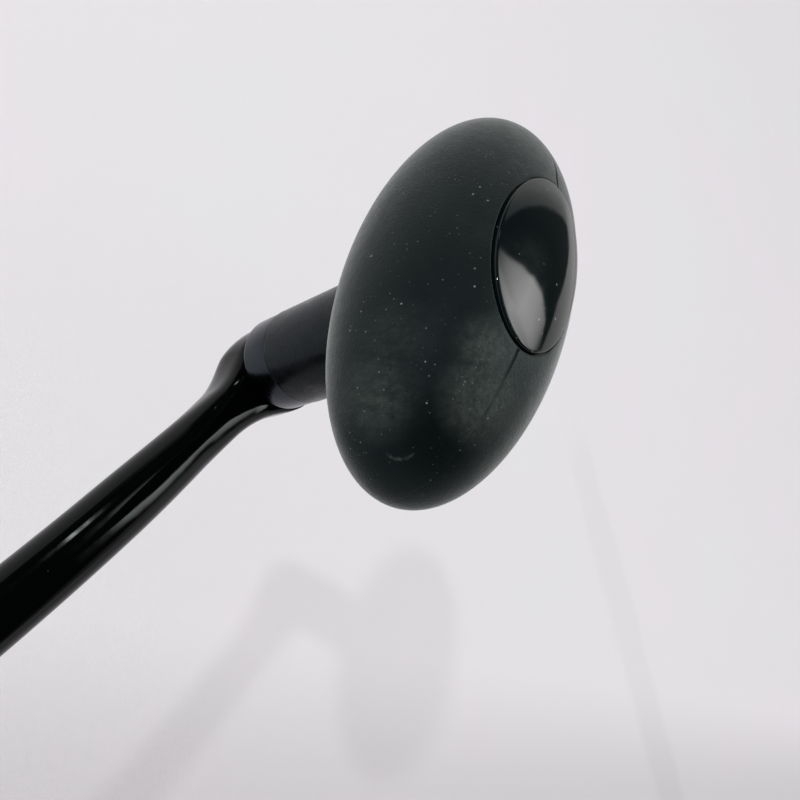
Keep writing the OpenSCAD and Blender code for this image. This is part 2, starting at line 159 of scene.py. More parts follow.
def grid_faces(rows, cols):
    """Quads between rows of cols points, where each row is a closed loop."""
    faces = []
    for i in range(rows - 1):
        low, high = i * cols, (i + 1) * cols
        for j in range(cols):
            k = (j + 1) % cols
            faces.append((low + j, low + k, high + k, high + j))
    return faces


def closed_faces(rows, cols):
    """The same quads, with the first and the last loop filled."""
    last = (rows - 1) * cols
    return grid_faces(rows, cols) + [tuple(range(cols)), tuple(range(last + cols - 1, last - 1, -1))]


def bezier(a, b, c, steps):
    """Points, or rows of points, that lead from a to c round the corner b."""
    return [a * (1 - t) ** 2 + b * 2 * t * (1 - t) + c * t * t for t in np.linspace(0, 1, steps + 1)]


def rounded(profile):
    """A profile of (r, z, radius) corners, each rounded by its radius."""
    out = []
    for i, (r, z, rad) in enumerate(profile):
        p = np.array([r, z], float)
        if rad <= 0:
            out.append(p)
            continue
        a = np.array(profile[i - 1][:2], float) - p
        c = np.array(profile[i + 1][:2], float) - p
        out.extend(bezier(p + a / np.linalg.norm(a) * rad, p, p + c / np.linalg.norm(c) * rad, 5))
    return np.array(out)


def revolve(profile, at, segments=160):
    """Points and faces of a profile of (r, z) turned about an upright axis at (x, y), with flat ends."""
    turn = np.linspace(0, 2 * math.pi, segments, endpoint=False)
    verts = [(at[0] + r * math.cos(t), at[1] + r * math.sin(t), z) for r, z in profile for t in turn]
    return verts, closed_faces(len(profile), segments)


def on_knob(points):
    """Points of the knob's frame, x along the grip and z from its centre, put in the part's frame."""
    p = np.asarray(points, float)
    c, s = math.cos(TURN), math.sin(TURN)
    x, y, z = p.T
    return np.c_[POST[0] + x * c - y * s, POST[1] + x * s + y * c, GRIP_Z + z]


# ---------------------------------------------------------------- arm
# The bar's sideways bow, its width where it leaves the hub and the length over which it narrows
BOW, ROOT_W, ROOT_LEN = 1.34, 10.0, 10.0
# The waist's width, the length over which the bar narrows to it and its distance from the post
WAIST_W, WAIST_LEN, WAIST_BACK = 6.46, 22.0, 8.0
# Radii of the flare into the eye, on the -y and the +y side
FLARE_LONG, FLARE_SHORT = 22.0, 9.8
# The eye's rim below its face, its whole depth and the power of its lower section
EYE_RIM, EYE_DEPTH, EYE_SQUARE = 0.4, 9.35, 3.2
# How far before the post the heel starts to drop, and its length, and where the crown line and the
# widest line start to shift to the eye's
HEEL_BACK, HEEL_LEN, CROWN_BACK, RIM_BACK = 18.0, 15.0, 13.0, 4.7
# Length over which the top moves to the eye's face, and where and how fast the section squares up
FACE_RISE, SQUARE_BACK, SQUARE_LEN = 6.0, 6.0, 5.0
# Powers of the section: that of an oval, and what the heel and the eye's face add to it
OVAL, HEEL_SQUARE, FACE_SQUARE = 2, 2, 4
# Points round a quarter of the section, and samples that place them
QUARTER, QUARTER_SAMPLES = 40, 400
# Sections along the bar, along its waist up to the heel, along the flare, and round the eye's far half
BAR_ROWS, WAIST_ROWS, FLARE_ROWS, EYE_ROWS = 40, 24, 110, 49
# Edges sharper than this many degrees stay sharp
ARM_CREASE = 32
# Where the bar starts inside the hub, and how far beyond the hub its root ends
BAR_START, ROOT_END = 5.2, 2.6
# The root's fillet above and below, what the sides add to it, and its rings: shares of the fillet, or
# millimetres into the hub where below 0
FILLET_HIGH, FILLET_SIDE = 0.5, 1.5
FILLET_STEPS = (-0.6, 0.0, 0.03, 0.08, 0.15, 0.24, 0.35, 0.5, 0.7, 1.0)
# Openings: the plug's pocket, the post's bore, the washer's recess below it and the shaft's socket.
# Those that open downwards start at OPEN_Z, clear of the arm
OPEN_Z = -2.0
POCKET_R, POCKET_DEPTH, POCKET_BEVEL = 4.6, 3.8, 0.25
BORE_R, BORE_LOW = 2.52, 3.0
SEAT_R, SEAT_TOP = 3.65, 4.35
SOCKET_R, SOCKET_TOP = 3.02, 9.0


def bar_side(x):
    """The bar's sideways bow at x."""
    return -4 * BOW * x / POST[0] * (1 - x / POST[0])


def bar_half(x):
    """Half the bar's width at x: wide at the root and narrow at the waist."""
    root = 1 - smooth((x - HUB_R) / ROOT_LEN)
    waist = smooth((x - POST[0] + WAIST_BACK + WAIST_LEN) / WAIST_LEN)
    return BAR_R + (ROOT_W / 2 - BAR_R) * root + (WAIST_W / 2 - BAR_R) * waist


def arm_edge(x, edge, radius):
    """Distance of the arm's edge from the eye's centre line: the bar, an arc, then the eye's circle."""
    start = -math.sqrt((EYE_R + radius) ** 2 - (edge + radius) ** 2)
    touch = start * EYE_R / (EYE_R + radius)
    u = x - POST[0]
    if u < start:
        return edge
    if u < touch:
        return edge + radius - math.sqrt(radius**2 - (u - start) ** 2)
    return math.sqrt(EYE_R**2 - u**2)


def quarter(half, height, power):
    """A quarter of a squared oval from its side to its top, with points at even steps along it."""
    a = np.linspace(0, math.pi / 2, QUARTER_SAMPLES)
    p = np.c_[half * np.cos(a) ** (2 / power), height * np.sin(a) ** (2 / power)]
    run = np.r_[0, np.cumsum(np.hypot(*np.diff(p, axis=0).T))]
    s = np.linspace(0, run[-1], QUARTER + 1)
    return np.c_[np.interp(s, run, p[:, 0]), np.interp(s, run, p[:, 1])]


def arm_ring(x):
    """The arm's section at x, from four quarters that meet at its crown line and its widest line."""
    side, half = bar_side(x), bar_half(x)
    u = x - POST[0]
    right = -EYE_SET - arm_edge(x, half - side - EYE_SET, FLARE_LONG)
    left = -EYE_SET + arm_edge(x, half + side + EYE_SET, FLARE_SHORT)
    middle = side - (side + EYE_SET) * smooth((u + CROWN_BACK) / CROWN_BACK)
    drop = smooth((u + HEEL_BACK) / HEEL_LEN)
    widest = BAR_Z + (EYE_TOP - EYE_RIM - BAR_Z) * smooth((u + RIM_BACK) / RIM_BACK)
    top = BAR_Z + BAR_R + (EYE_TOP - BAR_Z - BAR_R) * smooth((u + WAIST_BACK) / FACE_RISE)
    low = BAR_Z - BAR_R + (EYE_TOP - EYE_DEPTH - BAR_Z + BAR_R) * drop
    upper = OVAL + HEEL_SQUARE * drop + FACE_SQUARE * smooth((u + SQUARE_BACK) / SQUARE_LEN)
    lower = OVAL + (EYE_SQUARE - OVAL) * drop
    a = quarter(left - middle, top - widest, upper)[:-1]
    b = quarter(middle - right, top - widest, upper)[:0:-1]
    c = quarter(middle - right, widest - low, lower)[:-1]
    d = quarter(left - middle, widest - low, lower)[:0:-1]
    y = np.r_[middle + a[:, 0], middle - b[:, 0], middle - c[:, 0], middle + d[:, 0]]
    z = np.r_[widest + a[:, 1], widest + b[:, 1], widest - c[:, 1], widest - d[:, 1]]
    return np.c_[np.full(len(y), x), y, z]


def root_rings():
    """The bar's root: it starts inside the hub, and each point leaves its wall on a small fillet."""
    root = arm_ring(HUB_R)
    out = root - np.array([0.0, bar_side(HUB_R), BAR_Z])
    out[:, 0] = 0
    out /= np.linalg.norm(out, axis=1)[:, None]
    fillet = FILLET_HIGH + FILLET_SIDE * np.abs(out[:, 1]) ** 2
    rings = [root - np.array([HUB_R - BAR_START, 0, 0])]
    for t in FILLET_STEPS:
        d = fillet * max(t, 0)
        grow = fillet - np.sqrt(np.maximum(fillet**2 - (fillet - d) ** 2, 0))
        p = root + out * grow[:, None]
        over = np.clip(np.abs(p[:, 2] - BAR_Z) - (HUB_H / 2 - HUB_ROUND), 0, HUB_ROUND)
        wall = HUB_R - HUB_ROUND + np.sqrt(np.maximum(HUB_ROUND**2 - over**2, 0))
        p[:, 0] = np.sqrt(np.maximum(wall**2 - p[:, 1] ** 2, 0.1)) + d + min(t, 0)
        rings.append(p)
    return rings


def make_arm():
    waist_x, heel_x = POST[0] - WAIST_BACK - WAIST_LEN, POST[0] - HEEL_BACK
    xs = np.r_[
        np.linspace(HUB_R + ROOT_END, waist_x, BAR_ROWS)[:-1],
        np.linspace(waist_x, heel_x, WAIST_ROWS)[:-1],
        np.linspace(heel_x, POST[0], FLARE_ROWS),
    ]
    rings = root_rings() + [arm_ring(x) for x in xs]
    # the eye's far half is its middle section turned about its axis
    half = rings[-1]
    reach = np.abs(half[:, 1] + EYE_SET)
    way = np.sign(half[:, 1] + EYE_SET)
    for a in np.radians(np.linspace(0, 90, EYE_ROWS)[1:]):
        x = POST[0] + reach * math.sin(a)
        rings.append(np.c_[x, -EYE_SET + way * reach * math.cos(a), half[:, 2]])
    n = len(half)
    faces = grid_faces(len(rings), n) + [tuple(range(n))]
    arm = make_object("arm", np.concatenate(rings), faces, "arm_body", ["crank_arm"], ARM_CREASE)
    join_hub(arm)
    edit_mesh(arm.data, shade(ARM_CREASE))
    return arm


def join_hub(arm):
    """Joins the hub to the arm and cuts the openings."""
    hub_top = HUB_Z + HUB_H
    arc = np.linspace(0, math.pi / 2, 10)
    inner = HUB_R - HUB_ROUND
    low = [(inner + HUB_ROUND * math.sin(t), HUB_Z + HUB_ROUND - HUB_ROUND * math.cos(t)) for t in arc]
    high = [(r, 2 * (HUB_Z + HUB_H / 2) - z) for r, z in reversed(low)]
    cut(arm, helper("hub", *revolve(low + high, SHAFT)), "UNION")
    wide = POCKET_R + POCKET_BEVEL
    pocket = [
        (POCKET_R, hub_top - POCKET_DEPTH),
        (POCKET_R, hub_top - POCKET_BEVEL),
        (wide, hub_top + 0.001),
        (wide, hub_top + 1),
    ]
    openings = (
        ("pocket", pocket, SHAFT, 128),
        ("bore", [(BORE_R, BORE_LOW), (BORE_R, EYE_TOP + 1)], POST, 96),
        ("seat", [(SEAT_R, OPEN_Z), (SEAT_R, SEAT_TOP)], POST, 96),
        ("socket", [(SOCKET_R, OPEN_Z), (SOCKET_R, SOCKET_TOP)], SHAFT, 96),
    )
    for name, profile, at, segments in openings:
        cut(arm, helper(name, *revolve(profile, at, segments)), "DIFFERENCE")


def helper(name, verts, faces):
    """A closed mesh used only to cut or join another."""
    mesh = new_mesh(name, verts, faces)
    edit_mesh(mesh, face_out)
    return link_object(name, mesh)


def cut(obj, tool, operation):
    """Joins the tool to obj or takes it away, applies that and removes the tool."""
    mod = obj.modifiers.new("shape", "BOOLEAN")
    mod.operation = operation
    mod.object = tool
    mod.solver = "MANIFOLD"
    bpy.context.view_layer.update()
    graph = bpy.context.evaluated_depsgraph_get()
    mesh = bpy.data.meshes.new_from_object(obj.evaluated_get(graph))
    old = obj.data
    obj.modifiers.clear()
    obj.data = mesh
    bpy.data.meshes.remove(old)
    bpy.data.objects.remove(tool)


arm = make_arm()


# ---------------------------------------------------------------- knob
# The parting line: offsets of its columns of points, and the share of its depth at each
SEAM = np.array([-0.34, -0.17, -0.075, 0.0, 0.075, 0.17, 0.34])
GROOVE = np.array([0.0, 0.0, 0.85, 1.0, 0.85, 0.0, 0.0])
# Its depth far from the cap, what is added beside the cap and the steps over which that fades, at the
# grip's end towards the drive shaft and at its far end. From the cap to the neck there are SEAM_STEPS
SEAM_SHAFT_END, SEAM_FAR_END = (0.01, 0.23, 8.0), (0.012, 0.2, 6.0)
SEAM_STEPS = 75
# Columns of points between the parting lines, and rows from the recess to the neck
GRIP_COLUMNS, GRIP_ROWS = 132, 150
# Roundings of the grip's edges at the recess and at the neck, its gap round the neck, a row of points
# on the recess's wall above its seat, and the height in the grip where the neck's hole ends
GRIP_RIM, GRIP_LIP, NECK_GAP = 0.32, 0.4, 0.02
RECESS_WALL, NECK_HOLE_TOP = 1.2, -3
# The cap's points, its rounded edge, and a row of points on its wall
CAP_COLUMNS, CAP_ROWS, CAP_EDGE, CAP_WALL_Z = 256, 60, 0.18, 9.2
# The core's bore, how deep the skin follows it, the skin's hidden top, and how much lower than in the
# CAD its foot is
CORE_R, CORE_DEPTH, CORE_TOP, FOOT_DROP = 5.02, 4.2, 36.0, 0.2
# The collar's bore, and the low ring on its top, inside the neck's bore
COLLAR_BORE, COLLAR_RING_R, COLLAR_RISE = 2.52, 4.0, 0.5


def oval_radius(a, along, across):
    """Radius of an oval at the angle a."""
    return 1 / np.sqrt((np.cos(a) / along) ** 2 + (np.sin(a) / across) ** 2)


def grip_columns(rho):
    """Angles of one row's points. The columns beside the parting line keep their width."""
    edge = math.asin(SEAM[-1] / (GRIP_B * rho))
    line = np.arcsin(SEAM / (GRIP_B * rho))
    side = np.linspace(edge, math.pi - edge, GRIP_COLUMNS + 2)[1:-1]
    return np.r_[line, side, math.pi + line, math.pi + side]


def egg(psi, a):
    """Points of the egg at the height angle psi and the angle a round it, and the normals there."""
    rho = np.cos(psi)
    p = np.c_[GRIP_A * rho * np.cos(a), GRIP_B * rho * np.sin(a), GRIP_C * np.sin(psi)]
    normal = p / np.array([GRIP_A**2, GRIP_B**2, GRIP_C**2])
    return p, normal / np.linalg.norm(normal, axis=1)[:, None]


def seam_depth(u, far, near, fade):
    """Depth of the parting line at the share u of the way from the cap to the neck."""
    return far + near * math.exp(-((u * SEAM_STEPS / fade) ** 2))


def make_grip():
    top_a, top_b = RECESS_A / GRIP_A, RECESS_B / GRIP_B
    hole = (NECK_R + NECK_GAP) / GRIP_A, (NECK_R + NECK_GAP) / GRIP_B
    n = len(grip_columns(1.0))
    far_seam = slice(0, len(SEAM))
    shaft_seam = slice(len(SEAM) + GRIP_COLUMNS, 2 * len(SEAM) + GRIP_COLUMNS)

    # the recess wall, from its seat up to the rounded rim
    a = grip_columns(top_a)
    psi_top = np.arccos(oval_radius(a, top_a, top_b))
    corner, _ = egg(psi_top, a)
    rows = [np.c_[corner[:, :2], np.full(n, z)] for z in (SEAT_RISE, SEAT_RISE + RECESS_WALL)]
    reach = np.hypot(GRIP_A * np.cos(a), GRIP_B * np.sin(a)) * np.sin(psi_top)
    psi_in = psi_top - GRIP_RIM / np.hypot(GRIP_C * np.cos(psi_top), reach)
    rows += bezier(corner - np.array([0, 0, GRIP_RIM]), corner, egg(psi_in, a)[0], 5)[:-1]

    # the egg itself
    a = grip_columns(hole[0])
    psi_hole = -np.arccos(oval_radius(a, *hole))
    reach = np.hypot(GRIP_A * np.cos(a), GRIP_B * np.sin(a)) * np.sin(-psi_hole)
    psi_out = psi_hole + GRIP_LIP / np.hypot(GRIP_C * np.cos(psi_hole), reach)
    hole_corner, _ = egg(psi_hole, a)
    for u in np.linspace(0, 1, GRIP_ROWS):
        psi_mid = math.acos(top_a) * (1 - u) - math.acos(hole[0]) * u
        a = grip_columns(max(math.cos(psi_mid), min(top_a, hole[0])))
        p, normal = egg(u * (psi_out - psi_in) + psi_in, a)
        groove = np.zeros(n)
        groove[far_seam] = GROOVE * seam_depth(u, *SEAM_FAR_END)
        groove[shaft_seam] = GROOVE * seam_depth(u, *SEAM_SHAFT_END)
        rows.append(p - normal * groove[:, None])

    # the lip round the neck
    wall = hole_corner + np.array([0, 0, GRIP_LIP])
    rows += bezier(rows[-1], hole_corner, wall, 5)[1:]
    rows.append(np.c_[wall[:, :2], np.full(n, NECK_HOLE_TOP)])
    verts = on_knob(np.concatenate(rows))
    return make_object("grip_skin", verts, closed_faces(len(rows), n), "knob", ["grip"], crease=55)


def make_cap():
    n = CAP_COLUMNS
    a = np.linspace(0, 2 * math.pi, n, endpoint=False)
    out = np.c_[CAP_A * np.cos(a), CAP_B * np.sin(a)]
    inward = np.c_[np.cos(a) / CAP_A, np.sin(a) / CAP_B]
    inward /= -np.linalg.norm(inward, axis=1)[:, None]
    inner = out + inward * CAP_EDGE

    def dome(xy):
        z = DOME_Z + DOME_H * np.sqrt(1 - (xy[:, 0] / DOME_A) ** 2 - (xy[:, 1] / DOME_B) ** 2)
        return np.c_[xy, z]

    corner = dome(out)
    rows = [np.c_[out, np.full(n, SEAT_RISE)], np.c_[out, np.full(n, CAP_WALL_Z)]]
    rows += bezier(corner - np.array([0, 0, CAP_EDGE]), corner, dome(inner), 8)[:-1]
    rows += [dome(inner * s) for s in np.linspace(1, 0.02, CAP_ROWS)]
    verts = on_knob(np.concatenate(rows))
    return make_object("cap_skin", verts, closed_faces(len(rows), n), "knob", ["end_cap"], crease=50)


def make_neck():
    """The core: the neck that shows, with its bore, up into the grip."""
    foot = NECK_Z - FOOT_DROP
    outline = rounded([
        (CORE_R, NECK_Z + CORE_DEPTH, 0),
        (CORE_R, foot, 0.1),
        (NECK_R, foot, 0.14),
        (NECK_R, CORE_TOP, 0),
    ])
    return make_object("neck_skin", *revolve(outline, POST), "knob", ["knob_core"], crease=50)


def make_collar():
    ring_top = COLLAR_TOP + COLLAR_RISE
    outline = rounded([
        (COLLAR_BORE, EYE_TOP, 0),
        (COLLAR_R, EYE_TOP, 0.6),
        (COLLAR_R, COLLAR_TOP, 0.14),
        (COLLAR_RING_R, COLLAR_TOP, 0),
        (COLLAR_RING_R, ring_top, 0),
        (COLLAR_BORE, ring_top, 0),
    ])
    return make_object("collar_skin", *revolve(outline, POST), "arm_body", ["collar_ring"], crease=50)


# The scene's own pieces, by the node that each stands for
pieces = {
    "crank_arm": arm,
    "grip": make_grip(),
    "end_cap": make_cap(),
    "knob_core": make_neck(),
    "collar_ring": make_collar(),
}


# ---------------------------------------------------------------- materials
class Web:
    """A short way to write a node tree."""

    def __init__(self, tree, coord):
        self.tree = tree
        self.tree.nodes.clear()
        self.coord = self.tree.nodes.new("ShaderNodeTexCoord").outputs[coord]

    def link(self, a, b):
        self.tree.links.new(a, b)

    def put(self, socket, value):
        if isinstance(value, bpy.types.NodeSocket):
            self.link(value, socket)
        else:
            socket.default_value = value

    def math(self, op, *values):
        node = self.tree.nodes.new("ShaderNodeMath")
        node.operation = op
        for i, v in enumerate(values):
            self.put(node.inputs[i], v)
        return node.outputs[0]

    def chain(self, op, values):
        out = values[0]
        for v in values[1:]:
            out = self.math(op, out, v)
        return out

    def times(self, *values):
        return self.chain("MULTIPLY", values)

    def plus(self, *values):
        return self.chain("ADD", values)

    def most(self, *values):
        return self.chain("MAXIMUM", values)

    def least(self, *values):
        return self.chain("MINIMUM", values)

    def window(self, value, low, high, edge):
        """1 between low and high, falling to 0 over edge on both sides."""
        up = self.remap(value, low - edge, low + edge)
        return self.times(up, self.remap(value, high + edge, high - edge))

    def remap(self, value, low, high, to_low=0.0, to_high=1.0):
        """A smooth step from to_low, where the value is low, to to_high, where it is high."""
        node = self.tree.nodes.new("ShaderNodeMapRange")
        node.interpolation_type = "SMOOTHSTEP"
        for i, v in enumerate((value, low, high, to_low, to_high)):
            self.put(node.inputs[i], v)
        return node.outputs[0]

    def mix(self, factor, a, b):
        """Colour a where the factor is 0, and b where it is 1."""
        node = self.tree.nodes.new("ShaderNodeMix")
        node.data_type = "RGBA"
        self.put(node.inputs[0], factor)
        for socket, value in ((node.inputs[6], a), (node.inputs[7], b)):
            self.put(socket, (*value, 1) if isinstance(value, tuple) else value)
        return node.outputs[2]

    def mix_shaders(self, factor, a, b, out):
        node = self.tree.nodes.new("ShaderNodeMixShader")
        self.link(factor, node.inputs[0])
        self.link(a, node.inputs[1])
        self.link(b, node.inputs[2])
        self.link(node.outputs[0], out)

    def split(self, vector):
        node = self.tree.nodes.new("ShaderNodeSeparateXYZ")
        self.link(vector, node.inputs[0])
        return node.outputs


class Material(Web):
    """A material with one principled surface."""

    def __init__(self, name):
        self.mat = bpy.data.materials.new(name)
        self.mat.use_nodes = True
        super().__init__(self.mat.node_tree, "Object")
        self.place = self.scaled(1, 1, 1)
        self.out = self.tree.nodes.new("ShaderNodeOutputMaterial")
        self.bsdf = self.tree.nodes.new("ShaderNodeBsdfPrincipled")
        self.link(self.bsdf.outputs[0], self.out.inputs["Surface"])

    def set(self, **values):
        for key, value in values.items():
            self.put(self.bsdf.inputs[key.replace("_", " ")], value)

    def bump(self, *layers):
        """Stacked bumps, each a height and a depth in millimetres."""
        normal = None
        for height, depth in layers:
            node = self.tree.nodes.new("ShaderNodeBump")
            node.inputs["Distance"].default_value = depth * MM
            self.link(height, node.inputs["Height"])
            if normal is not None:
                self.link(normal, node.inputs["Normal"])
            normal = node.outputs[0]
        self.link(normal, self.bsdf.inputs["Normal"])

    def scaled(self, x, y, z, shift=(0.0, 0.0, 0.0)):
        """The part's coordinates in millimetres times x, y, z, plus the shift."""
        node = self.tree.nodes.new("ShaderNodeMapping")
        node.inputs["Scale"].default_value = (x / MM, y / MM, z / MM)
        node.inputs["Location"].default_value = shift
        self.link(self.coord, node.inputs["Vector"])
        return node.outputs[0]

    def noise(self, scale, detail=3.0, rough=0.5):
        """Noise of so many features per millimetre, alike along all axes or one number for each."""
        scale = scale if isinstance(scale, tuple) else (scale,) * 3
        node = self.tree.nodes.new("ShaderNodeTexNoise")
        node.inputs["Scale"].default_value = 1.0
        node.inputs["Detail"].default_value = detail
        node.inputs["Roughness"].default_value = rough
        self.link(self.scaled(*scale), node.inputs["Vector"])
        return node.outputs[0]

    def wave(self, along, scale):
        """Soft parallel bands."""
        node = self.tree.nodes.new("ShaderNodeTexWave")
        node.bands_direction = along
        node.inputs["Scale"].default_value = scale
        node.inputs["Distortion"].default_value = 0.6
        node.inputs["Detail"].default_value = 1.0
        self.link(self.place, node.inputs["Vector"])
        return node.outputs["Fac"]

    def distance(self, centre):
        """Distance from the centre in millimetres."""
        node = self.tree.nodes.new("ShaderNodeVectorMath")
        node.operation = "DISTANCE"
        self.link(self.place, node.inputs[0])
        node.inputs[1].default_value = centre
        return node.outputs["Value"]

    def spot(self, centre, inner, outer):
        """1 within inner of the centre, falling to 0 at outer."""
        return self.remap(self.distance(centre), outer, inner)

    def specks(self, per_mm, share, size, seed):
        """Sparse round dots: cells per millimetre, the share that hold one, and its size in cells."""
        cell = self.tree.nodes.new("ShaderNodeTexVoronoi")
        cell.inputs["Scale"].default_value = per_mm
        self.link(self.scaled(1, 1, 1, (seed, seed * 1.7, seed * 0.6)), cell.inputs["Vector"])
        pick = self.split(cell.outputs["Color"])
        chosen = self.math("LESS_THAN", pick[0], share)
        radius = self.math("MULTIPLY_ADD", pick[1], size, size * 0.35)
        edge = self.math("SUBTRACT", radius, cell.outputs["Distance"])
        return self.times(self.remap(edge, 0.0, size * 0.5), chosen)


def paint(obj, mat):
    obj.data.materials.clear()
    obj.data.materials.append(mat)


def arm_paint():
    m = Material("arm_paint")
    wave = m.noise(0.16, detail=2)
    fine = m.noise(3, detail=2)
    dust = m.specks(0.6, 0.25, 0.06, 3.0)
    base = m.mix(dust, (0.0006, 0.0008, 0.0008), (0.05, 0.05, 0.05))
    rough = m.remap(m.noise(0.35, detail=4), 0.3, 0.7, 0.05, 0.1)
    m.set(Base_Color=base, Roughness=rough, Specular_IOR_Level=0.16, Specular_Tint=(0.9, 1.0, 0.95, 1))
    m.bump((wave, 0.04), (fine, 0.0005))
    return m.mat


def grip_rubber():
    m = Material("grip_rubber")
    patch = m.remap(m.noise(0.09, detail=3, rough=0.6), 0.45, 0.75)
    cloud = m.noise(0.6, detail=6, rough=0.7)
    mottle = m.noise(4, detail=4, rough=0.6)
    base = m.mix(patch, (0.0042, 0.0064, 0.0066), (0.0076, 0.0106, 0.0104))
    base = m.mix(m.remap(cloud, 0.45, 0.8, 0, 0.5), base, (0.0132, 0.0182, 0.0172))
    base = m.mix(m.remap(mottle, 0.35, 0.75, 0, 0.35), base, (0.0035, 0.0046, 0.0052))
    # painted shade: the middle is painted darker and bluer round two spots, and the end towards the
    # drive shaft is painted nearly black
    painted_shade_middle = m.most(m.spot((54, 3, 50), 2, 9), m.spot((47.6, -2.2, 48.1), 1, 6))
    base = m.mix(m.times(painted_shade_middle, 0.6), base, (0.0022, 0.0032, 0.0052))
    # painted shade: the end towards the drive shaft is painted nearly black, where little light reaches
    # it
    painted_shade_low_end = m.most(
        m.spot((45.0, -8.5, 46.5), 4.0, 7.6),
        m.spot((46.7, -4.2, 47.6), 1.5, 4.2),
        m.spot((45.2, -2.2, 42.0), 0.5, 3.2),
    )
    base = m.mix(m.times(painted_shade_low_end, 0.85), base, (0.0008, 0.0022, 0.0028))
    # dust between the two and beside the cap, in a fine grain
    low = m.spot((46.4, 0.0, 45.0), 1, 5.6)
    worn = m.spot((50.8, 3.4, 46.8), 1, 5.0)
    beside = m.most(m.spot((51.8, -5.6, 51.5), 1.5, 5.5), m.spot((54.6, -2.4, 52.6), 0.5, 4.5))
    dusty = m.most(m.times(low, 0.95), m.times(beside, 1.35), m.times(worn, 0.4))
    streaks = m.noise((1.6, 1.6, 0.7), detail=7, rough=0.75)
    grain = m.times(m.remap(cloud, 0.25, 0.75, 0.6, 1.1), m.remap(streaks, 0.36, 0.66, 0.45, 1.15))
    base = m.mix(m.times(dusty, grain, 0.85), base, (0.038, 0.044, 0.040))
    # a short curved scuff near that end
    ring = m.window(m.distance((45.2, -4.4, 46.2)), 1.7, 1.95, 0.12)
    scuff = m.times(ring, m.spot((44.5, -5.9, 45.7), 0.8, 1.6))
    base = m.mix(m.times(scuff, m.remap(mottle, 0.35, 0.6), 0.5), base, (0.07, 0.076, 0.074))
    # specks all over, and finer ones in drifts
    dust = m.specks(0.9, 0.35, 0.1, 1.0)
    fine = m.specks(2.2, 0.5, 0.17, 7.0)
    drifts = m.remap(m.noise(0.22, detail=2), 0.42, 0.6, 0.12, 0.6)
    base = m.mix(m.times(dust, 0.6), base, (0.3, 0.32, 0.33))
    base = m.mix(m.times(fine, drifts), base, (0.2, 0.22, 0.23))
    rough = m.remap(cloud, 0.3, 0.7, 0.4, 0.52)
    m.set(Base_Color=base, Roughness=rough, Specular_IOR_Level=0.16, Specular_Tint=(0.68, 1.0, 1.0, 1))
    m.set(Sheen_Weight=0.5, Sheen_Roughness=0.28, Sheen_Tint=(0.93, 1.0, 0.96, 1))
    m.bump((cloud, 0.03), (mottle, 0.045), (m.noise(14, detail=2), 0.008))
    return m.mat


def cap_gloss():
    m = Material("cap_gloss")
    x, y = m.split(m.place)[:2]
    dust = m.specks(0.8, 0.5, 0.12, 5.0)
    cloud = m.noise(0.3, detail=5, rough=0.65)
    base = m.mix(m.times(dust, 0.6), (0.0012, 0.0042, 0.0046), (0.25, 0.27, 0.27))
    film = m.times(m.spot((65.1, 1.4, 54.6), 0.5, 4.2), m.remap(cloud, 0.3, 0.6, 0.3, 1.0))
    base = m.mix(m.times(film, 0.8), base, (0.010, 0.0135, 0.0135))
    m.set(Base_Color=base, Roughness=m.remap(cloud, 0.35, 0.75, 0.05, 0.1), Specular_IOR_Level=0.22)
    # the dome flattens a little towards its +y side
    across = m.plus(m.times(m.plus(x, -float(POST[0])), -math.sin(TURN)), m.times(y, math.cos(TURN)))
    flat = m.times(m.math("POWER", m.most(across, 0.0), 2.0), 0.0177)
    m.bump((flat, 1.0), (m.noise(0.25, detail=2), 0.02))
    return m.mat


def neck_black():
    m = Material("neck_black")
    cloud = m.noise((0.5, 0.5, 0.3), detail=5, rough=0.65)
    mottle = m.noise(5, detail=3)
    base = m.mix(m.remap(cloud, 0.35, 0.75), (0.0014, 0.0019, 0.0025), (0.0032, 0.004, 0.005))
    dust = m.specks(0.7, 0.16, 0.1, 2.0)
    base = m.mix(m.times(dust, 0.6), base, (0.2, 0.21, 0.23))
    # rubbed low on the -y side
    spotted = m.remap(m.noise((1.1, 1.1, 0.5), detail=5), 0.47, 0.56)
    rubbed = m.times(m.spot((62.7, -3.6, 19.8), 0.6, 2.6), spotted)
    base = m.mix(m.times(rubbed, 0.7), base, (0.035, 0.037, 0.042))
    # painted light: the +y side is painted lighter, as if lit from there
    painted_light_side = m.remap(m.split(m.place)[1], -2.5, 4.5)
    base = m.mix(m.times(painted_light_side, m.remap(cloud, 0.3, 0.7, 0.6, 1.0)), base, (0.0125, 0.0155, 0.018))
    m.set(Base_Color=base, Roughness=m.remap(cloud, 0.3, 0.7, 0.2, 0.34), Specular_IOR_Level=0.1)
    m.set(Specular_Tint=(0.82, 0.97, 1.0, 1))
    m.bump((cloud, 0.03), (m.noise((1.6, 1.6, 0.9), detail=4), 0.02), (mottle, 0.008))
    return m.mat


def collar_metal():
    m = Material("collar_metal")
    turned = m.noise((0.2, 0.2, 14), detail=2)
    cloud = m.noise(0.4, detail=4)
    base = m.mix(m.remap(cloud, 0.3, 0.7), (0.026, 0.032, 0.039), (0.035, 0.042, 0.050))
    m.set(Base_Color=base, Roughness=m.remap(turned, 0.3, 0.7, 0.2, 0.28), Metallic=1.0)
    m.bump((cloud, 0.012), (turned, 0.003))
    return m.mat


def turned_metal(name, base, rough_low, rough_high):
    m = Material(name)
    turned = m.noise((0.3, 0.3, 10), detail=2)
    cloud = m.noise(0.5, detail=4)
    dark = tuple(c * 0.94 for c in base)
    m.set(
        Base_Color=m.mix(m.remap(cloud, 0.3, 0.7), dark, base),
        Roughness=m.remap(turned, 0.3, 0.7, rough_low, rough_high),
        Metallic=1.0,
    )
    m.bump((turned, 0.003))
    return m.mat


